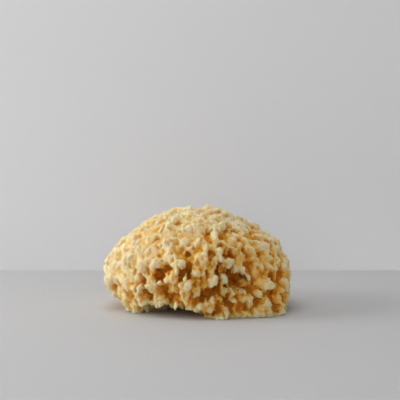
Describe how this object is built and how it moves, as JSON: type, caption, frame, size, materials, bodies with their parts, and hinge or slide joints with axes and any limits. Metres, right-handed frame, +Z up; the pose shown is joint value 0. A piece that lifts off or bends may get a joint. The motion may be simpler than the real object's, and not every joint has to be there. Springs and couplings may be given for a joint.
{
  "type": "sea sponge",
  "caption": "Natural honeycomb bath sponge: a low dome full of open canals between lumpy ridges, cut flat underneath, with a shallow arch under one front corner.",
  "frame": {"origin": "centre of the sponge's outline, on the surface that it rests on", "axes": "+X along the sponge's length, towards its steep end; +Z up; -Y is the face with the large cavity"},
  "size_m": [0.1386, 0.1144, 0.0755],
  "materials": {
    "spongin": "dry, matt spongin fibre: pale cream-yellow on the ridges, golden to orange-brown down in the canals"
  },
  "bodies": {
    "root": {"sponge": "spongin"}
  },
  "joints": []
}
